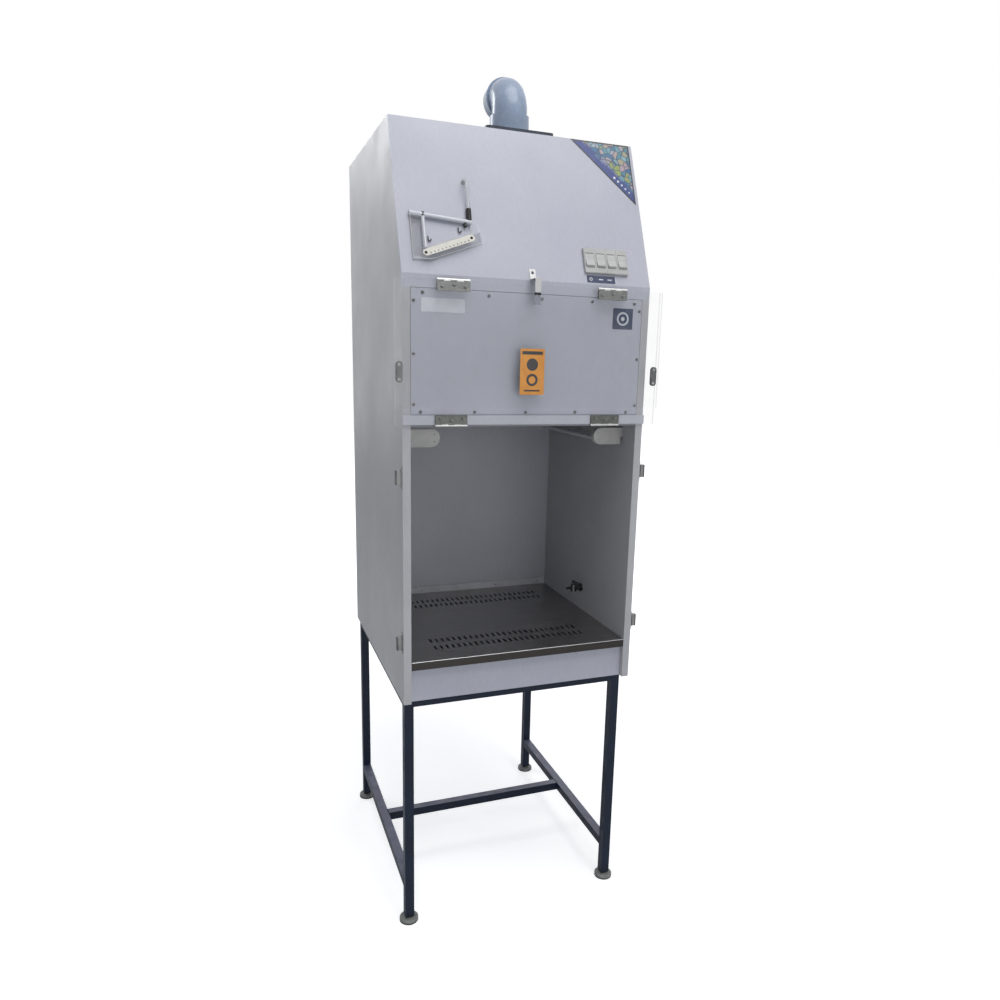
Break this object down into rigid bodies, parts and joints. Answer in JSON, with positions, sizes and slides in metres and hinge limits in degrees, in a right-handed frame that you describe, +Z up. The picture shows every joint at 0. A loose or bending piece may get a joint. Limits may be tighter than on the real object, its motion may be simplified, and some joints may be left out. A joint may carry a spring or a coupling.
{
  "type": "biosafety cabinet",
  "caption": "Floor-standing laminar-flow biosafety cabinet: pale laminate body on a dark tubular stand, clear folding door, slotted work tray, sloped fascia, roof exhaust elbow.",
  "frame": {"origin": "on the floor under the middle of the overall box", "axes": "+Z up, X across the front with +X at the user's right when facing it, the work opening faces -Y"},
  "size_m": [0.694, 0.7813, 2.286],
  "materials": {
    "laminate": "satin laminate over board",
    "board_edge": "satin laminate edge",
    "tray_steel": "brushed",
    "bright_steel": "bright",
    "zinc_screw": "bright plated",
    "chromed_metal": "polished",
    "clear_acrylic": "clear",
    "white_plastic": "gloss",
    "dark_plastic": "matt",
    "pipe_plastic": "satin",
    "stand_paint": "satin paint",
    "foot_plastic": "matt",
    "insert_plastic": "matt",
    "filter_paper": "pleated",
    "galvanised": "spangled zinc",
    "motor_paint": "satin paint",
    "cast_alloy": "satin",
    "lamp_glass": "frosted",
    "pine": "bare"
  },
  "bodies": {
    "cabinet": {"back_cleat": "bright_steel", "blower_deck": "laminate", "blower_housing": "galvanised", "blower_motor": "motor_paint", "catch_housings": "white_plastic", "catch_pole_plates": "dark_plastic", "ceiling_diffuser": "laminate", "chamber_back": "laminate", "duct_elbow": "pipe_plastic", "duct_flange": "pipe_plastic", "exhaust_filter": "white_plastic", "floor_board": "laminate", "gas_cock_body": "chromed_metal", "header_board": "laminate", "hinge_rail": "board_edge", "inner_battens": "pine", "lamp_fittings": "white_plastic", "lamp_tubes": "lamp_glass", "leg_inserts": "insert_plastic", "manometer_body": "clear_acrylic", "manometer_scale": "white_plastic", "manometer_top_tube": "cast_alloy", "plinth_board": "laminate", "pressure_hose": "clear_acrylic", "rail_hinge_fixed_plates": "bright_steel", "rear_panel": "laminate", "roof_panel": "laminate", "service_panel": "laminate", "service_panel_screws": "zinc_screw", "side_panel_left": "laminate", "side_panel_right": "laminate", "sloped_fascia": "laminate", "stand_legs": "stand_paint", "stand_rails": "stand_paint", "strap_stud": "chromed_metal", "supply_filter_frame": "pine", "supply_filter_pack": "filter_paper", "switch_plate": "white_plastic", "top_rail": "laminate", "work_tray": "tray_steel"},
    "door_upper": {"door_upper_leaf": "clear_acrylic", "rail_hinge_leaf_plates": "bright_steel", "fold_hinge_upper_plates": "bright_steel", "upper_strike_plates": "bright_steel"},
    "door_lower": {"door_lower_leaf": "clear_acrylic", "fold_hinge_lower_plates": "bright_steel", "lower_strike_plates": "bright_steel", "strap_bracket": "chromed_metal"},
    "strap": {"holding_strap": "chromed_metal"},
    "blower_wheel": {"impeller": "galvanised", "motor_shaft": "bright_steel"},
    "gas_lever": {"gas_cock_handle": "chromed_metal"},
    "rocker_1": {"switch_rocker_1": "white_plastic"},
    "rocker_2": {"switch_rocker_2": "white_plastic"},
    "rocker_3": {"switch_rocker_3": "white_plastic"},
    "rocker_4": {"switch_rocker_4": "white_plastic"},
    "foot_body_front_left": {"foot_front_left": "foot_plastic"},
    "foot_body_front_right": {"foot_front_right": "foot_plastic"},
    "foot_body_rear_left": {"foot_rear_left": "foot_plastic"},
    "foot_body_rear_right": {"foot_rear_right": "foot_plastic"}
  },
  "joints": [
    {"name": "door_upper_hinge", "type": "hinge", "parent": "cabinet", "child": "door_upper", "pos_m": [0, -0.36435, 1.389], "axis": [1, 0, 0], "range_deg": [0, 180]},
    {"name": "door_fold_hinge", "type": "hinge", "parent": "door_upper", "child": "door_lower", "pos_m": [0, -0.37635, 1.728], "axis": [1, 0, 0], "range_deg": [-180, 0]},
    {"name": "strap_pin", "type": "hinge", "parent": "door_lower", "child": "strap", "pos_m": [0, -0.38815, 1.707], "axis": [1, 0, 0], "range_deg": [0, 153]},
    {"name": "blower_spin", "type": "hinge", "parent": "cabinet", "child": "blower_wheel", "pos_m": [-0.075, -0.05485, 1.805], "axis": [1, 0, 0], "continuous": true},
    {"name": "gas_lever_turn", "type": "hinge", "parent": "cabinet", "child": "gas_lever", "pos_m": [0.279, -0.06385, 0.854], "axis": [0, 0, 1], "range_deg": [-90, 0]},
    {"name": "rocker_1_press", "type": "hinge", "parent": "cabinet", "child": "rocker_1", "pos_m": [0.15712, -0.33316, 1.79648], "axis": [1, 0, 0], "range_deg": [0, 14]},
    {"name": "rocker_2_press", "type": "hinge", "parent": "cabinet", "child": "rocker_2", "pos_m": [0.18738, -0.33316, 1.79648], "axis": [1, 0, 0], "range_deg": [0, 14]},
    {"name": "rocker_3_press", "type": "hinge", "parent": "cabinet", "child": "rocker_3", "pos_m": [0.21763, -0.33316, 1.79648], "axis": [1, 0, 0], "range_deg": [0, 14]},
    {"name": "rocker_4_press", "type": "hinge", "parent": "cabinet", "child": "rocker_4", "pos_m": [0.24788, -0.33316, 1.79648], "axis": [1, 0, 0], "range_deg": [0, 14]},
    {"name": "level_front_left", "type": "slide", "parent": "cabinet", "child": "foot_body_front_left", "axis": [0, 0, -1], "range_m": [-0.0035, 0.018]},
    {"name": "level_front_right", "type": "slide", "parent": "cabinet", "child": "foot_body_front_right", "axis": [0, 0, -1], "range_m": [-0.0035, 0.018]},
    {"name": "level_rear_left", "type": "slide", "parent": "cabinet", "child": "foot_body_rear_left", "axis": [0, 0, -1], "range_m": [-0.0035, 0.018]},
    {"name": "level_rear_right", "type": "slide", "parent": "cabinet", "child": "foot_body_rear_right", "axis": [0, 0, -1], "range_m": [-0.0035, 0.018]}
  ],
  "couplings": [
    {"joint": "door_fold_hinge", "follows": "door_upper_hinge", "ratio": -1},
    {"joint": "strap_pin", "follows": "door_upper_hinge", "ratio": 0.85}
  ]
}
